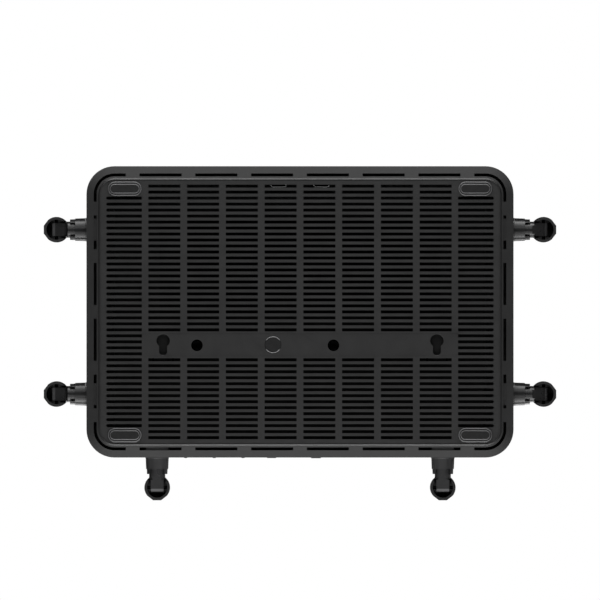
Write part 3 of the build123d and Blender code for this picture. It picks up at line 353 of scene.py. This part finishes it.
MATERIALS = {
    "case_plastic": cover_plastic("case_plastic", 0.011, 0.50),
    "socket_plastic": smooth_plastic("socket_plastic", 0.024, 0.30, 0.65),
    "knuckle_plastic": hinge_plastic("knuckle_plastic", grey=0.026, strip_highlight_grey=0.10, roughness=0.28,
                                     axis=X_AXIS, strip_at=SIDE_HIGHLIGHT_STRIP, specular=0.65),
    "blade_plastic": moulded("blade_plastic", 0.026, 0.50),
    "button_plastic": moulded("button_plastic", 0.040, 0.42, grain=0.5, depth=0.005),
    "seal_plastic": bevelled("seal_plastic", grey=0.016, chamfer_highlight_grey=0.60, roughness=0.52,
                             grain=0.4, depth=0.004, ends_only=True),
    "port_plastic": moulded("port_plastic", 0.018, 0.30, grain=0.6, depth=0.003),
    "lead_jacket": moulded("lead_jacket", 0.030, 0.42, grain=0.3, depth=0.004),
    "foot_rubber": bevelled("foot_rubber", grey=0.018, chamfer_highlight_grey=0.16, roughness=0.55,
                            grain=0.3, depth=0.006),
    "pad_rubber": rubber("pad_rubber", 0.30),
    "bare_aluminium": metal("bare_aluminium", (0.72, 0.73, 0.74), 0.36, brush=(8, 0.3, 1)),
    "black_aluminium": metal("black_aluminium", (0.02, 0.02, 0.021), 0.5),
    "tinned_steel": metal("tinned_steel", (0.62, 0.62, 0.60), 0.32, brush=(0.4, 6, 1)),
    "screw_steel": metal("screw_steel", (0.03, 0.03, 0.032), 0.45),
    "brass_plate": metal("brass_plate", (0.80, 0.62, 0.30), 0.26),
    "board": solder_mask("board"),
    "clear_plastic": frosted("clear_plastic"),
}

# Painted light: paler copies of the socket and neck plastics for the rear sockets and necks, which look
# paler than the side ones from below.
REAR_PAINTED_LIGHT_MATERIALS = {
    "socket_plastic": smooth_plastic("socket_plastic_rear", 0.070, 0.34, 0.6),
    "knuckle_plastic": hinge_plastic("knuckle_plastic_rear", grey=0.065, strip_highlight_grey=0.32, roughness=0.30,
                                     axis=Y_AXIS, strip_at=REAR_HIGHLIGHT_STRIP, specular=0.7),
}

slot_of = {entry["node"]: entry["material_slot"] for entry in frame["record"]["subparts"]}
for name, node in nodes.items():
    node.data.materials.clear()
    material_slot = slot_of[name]
    rear = "_rear_" in name and material_slot in REAR_PAINTED_LIGHT_MATERIALS
    node.data.materials.append(REAR_PAINTED_LIGHT_MATERIALS[material_slot] if rear else MATERIALS[material_slot])


# ------------------------------------------------------------------ small pieces on the ports
EDGE_BREAK = 0.05 * MM
CONTACT_COUNT = 8
CONTACT_PITCH = 1.02 * MM
CONTACT_HALF = 0.18 * MM
CONTACT_THICK = 0.16 * MM
CONTACT_DEEP = 12.5 * MM            # the contacts' far and near ends, behind the socket's face
CONTACT_NEAR = 4.6 * MM
LIP_THICK = 0.3 * MM
MOUTH_WIDTH = 12.6 * MM
MOUTH_HEIGHT = 9.0 * MM
MOUTH_RISE = 1.3 * MM               # the mouth's middle lies above the middle of the socket's box
CONTACT_RISE = 3.0 * MM             # the contacts hang this far above the mouth's middle


def bars_on_router(name, boxes, material):
    """One mesh of bevelled bars on the router, each given by its lowest and highest corner."""
    mesh = bmesh.new()
    for low, high in boxes:
        made = bmesh.ops.create_cube(mesh, size=1.0)
        for vertex in made["verts"]:
            vertex.co = [low[i] + (vertex.co[i] + 0.5) * (high[i] - low[i]) for i in range(3)]
    bmesh.ops.bevel(mesh, geom=mesh.edges[:], offset=EDGE_BREAK, segments=1, affect="EDGES")
    data = bpy.data.meshes.new(name)
    mesh.to_mesh(data)
    mesh.free()
    data.materials.append(material)
    piece = bpy.data.objects.new(name, data)
    bpy.context.scene.collection.objects.link(piece)
    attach(piece, "router")


def port_contacts(port):
    """Eight contact wires under the roof of a network socket."""
    low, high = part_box(port)
    middle = (low + high) / 2
    roof = middle.z + MOUTH_RISE + CONTACT_RISE
    wires = []
    for index in range(CONTACT_COUNT):
        at_x = middle.x + (index - (CONTACT_COUNT - 1) / 2) * CONTACT_PITCH
        wires.append(((at_x - CONTACT_HALF, high.y - CONTACT_DEEP, roof - CONTACT_THICK),
                      (at_x + CONTACT_HALF, high.y - CONTACT_NEAR, roof)))
    bars_on_router(f"{port}_contacts", wires, MATERIALS["brass_plate"])


def port_lips(port):
    """The thin steel lips of a network socket's shell, at both sides of its mouth and above it."""
    low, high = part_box(port)
    middle = (low + high) / 2
    left, right = middle.x - MOUTH_WIDTH / 2, middle.x + MOUTH_WIDTH / 2
    bottom = middle.z + MOUTH_RISE - MOUTH_HEIGHT / 2
    top = middle.z + MOUTH_RISE + MOUTH_HEIGHT / 2
    back, front, roof = high.y, high.y + LIP_THICK, high.z - LIP_THICK
    lips = [
        ((low.x + LIP_THICK, back, bottom), (left, front, roof)),
        ((right, back, bottom), (high.x - LIP_THICK, front, roof)),
        ((left, back, top), (right, front, roof)),
    ]
    bars_on_router(f"{port}_shell", lips, MATERIALS["tinned_steel"])


for port in NETWORK_PORTS:
    port_contacts(port)
    port_lips(port)


# ------------------------------------------------------------------ camera
# Straight up at the underside, through a very long lens. The photograph shows no perspective.
LENS_MM = 1500.0
SENSOR_MM = 36.0
FRAME_WIDTH = 0.3638                # width of the picture at the tray
AIM_AHEAD = 0.0072                  # the picture's middle lies this far in front of the case's middle
distance = FRAME_WIDTH * LENS_MM / SENSOR_MM

camera_data = bpy.data.cameras.new("camera")
camera_data.lens = LENS_MM
camera_data.sensor_width = SENSOR_MM
camera_data.clip_start = 1.0
camera_data.clip_end = 2 * distance
camera = bpy.data.objects.new("camera", camera_data)
camera.location = (case_middle.x, case_middle.y - AIM_AHEAD, case_low.z - distance)
camera.rotation_euler = (math.pi, 0, 0)
bpy.context.scene.collection.objects.link(camera)
bpy.context.scene.camera = camera


# ------------------------------------------------------------------ floor, world and lights
def area_light(name, at, towards, size, power):
    """A soft light that lights the object but isn't seen by the camera."""
    data = bpy.data.lights.new(name, "AREA")
    data.shape = "RECTANGLE"
    data.size, data.size_y = size
    data.energy = power
    light = bpy.data.objects.new(name, data)
    light.location = at
    light.rotation_euler = (Vector(towards) - Vector(at)).to_track_quat("-Z", "Y").to_euler()
    light.visible_camera = False
    bpy.context.scene.collection.objects.link(light)


FLOOR_HALF = 4.0


def pale_floor():
    """A plain floor seen only from above, so that the underside can be looked at from below."""
    mesh = bpy.data.meshes.new("floor")
    half = FLOOR_HALF
    corners = [(-half, -half, 0), (half, -half, 0), (half, half, 0), (-half, half, 0)]
    mesh.from_pydata(corners, [], [(0, 1, 2, 3)])
    floor = bpy.data.objects.new("floor", mesh)
    bpy.context.scene.collection.objects.link(floor)
    s = Shader("floor")
    s.finish(s.ramp(s.noise(300.0), (0.74, 0.74, 0.74), (0.78, 0.78, 0.78)), Specular_IOR_Level=0.2)
    s.surface.inputs["Roughness"].default_value = 0.8
    path = s.add("ShaderNodeLightPath")
    side = s.add("ShaderNodeNewGeometry")
    hidden = s.add("ShaderNodeMath", operation="SUBTRACT", use_clamp=True)
    s.link(path.outputs["Is Camera Ray"], hidden.inputs[0])
    s.link(side.outputs["Backfacing"], hidden.inputs[1])
    clear = s.add("ShaderNodeBsdfTransparent")
    mix = s.add("ShaderNodeMixShader")
    s.link(hidden.outputs[0], mix.inputs[0])
    s.link(clear.outputs[0], mix.inputs[1])
    s.link(s.surface.outputs[0], mix.inputs[2])
    s.link(mix.outputs[0], s.tree.nodes["Material Output"].inputs["Surface"])
    mesh.materials.append(s.material)


def studio_world(seen, lit):
    """White where the camera looks past everything, and a dimmer even light on the object."""
    world = bpy.data.worlds.new("studio")
    world.use_nodes = True
    bpy.context.scene.world = world
    tree = world.node_tree
    background = tree.nodes["Background"]
    background.inputs["Color"].default_value = (1, 1, 1, 1)
    path = tree.nodes.new("ShaderNodeLightPath")
    level = tree.nodes.new("ShaderNodeMapRange")
    level.inputs["To Min"].default_value = lit
    level.inputs["To Max"].default_value = seen
    tree.links.new(path.outputs["Is Camera Ray"], level.inputs["Value"])
    tree.links.new(level.outputs["Result"], background.inputs["Strength"])


# Lengths in metres. The softboxes and side lights are centred below the floor, to light the
# underside. The level softboxes also reach about 0.05 above it, and streak it far from the case.
SOFTBOX_WIDTH = 0.9
SOFTBOXES = {                       # distance from the case's middle, height, depth, watts
    "level": (0.80, -0.12, 0.34, 3.9),
    "slope": (0.66, -0.42, 0.32, 1.5),
    "below": (0.26, -0.43, 0.18, 0.48),
}
SIDE_LIGHT_OUT = 0.85
SIDE_LIGHT_BACK = 0.25              # behind the case's middle
SIDE_LIGHT_HEIGHT = -0.14
SIDE_AIM_BACK = 0.1
SIDE_LIGHT_SIZE = (0.6, 0.3)
SIDE_LIGHT_WATTS = 0.15
OVERHEAD_LIGHTS = {                 # place, size, watts
    "over_left": ((-1.4, -1.2, 1.6), (1.2, 1.2), 22.0),
    "over_right": ((1.6, -0.6, 1.4), (1.0, 1.0), 12.0),
    "over_rear": ((0.2, 1.6, 1.5), (1.4, 0.8), 14.0),
}

pale_floor()
studio_world(seen=1.0, lit=0.015)
middle = (case_middle.x, case_middle.y, 0.0)
for side, end in ((-1, "front"), (1, "rear")):
    for name, (out, height, tall, power) in SOFTBOXES.items():
        at = (0, case_middle.y + side * out, height)
        area_light(f"{name}_{end}", at, middle, (SOFTBOX_WIDTH, tall), power)
for side, end in ((-1, "left"), (1, "right")):
    at = (side * SIDE_LIGHT_OUT, case_middle.y + SIDE_LIGHT_BACK, SIDE_LIGHT_HEIGHT)
    aim = (0, case_middle.y + SIDE_AIM_BACK, 0)
    area_light(f"level_{end}", at, aim, SIDE_LIGHT_SIZE, SIDE_LIGHT_WATTS)
for name, (at, size, power) in OVERHEAD_LIGHTS.items():
    area_light(name, at, middle, size, power)
bpy.context.scene.view_settings.view_transform = "Standard"
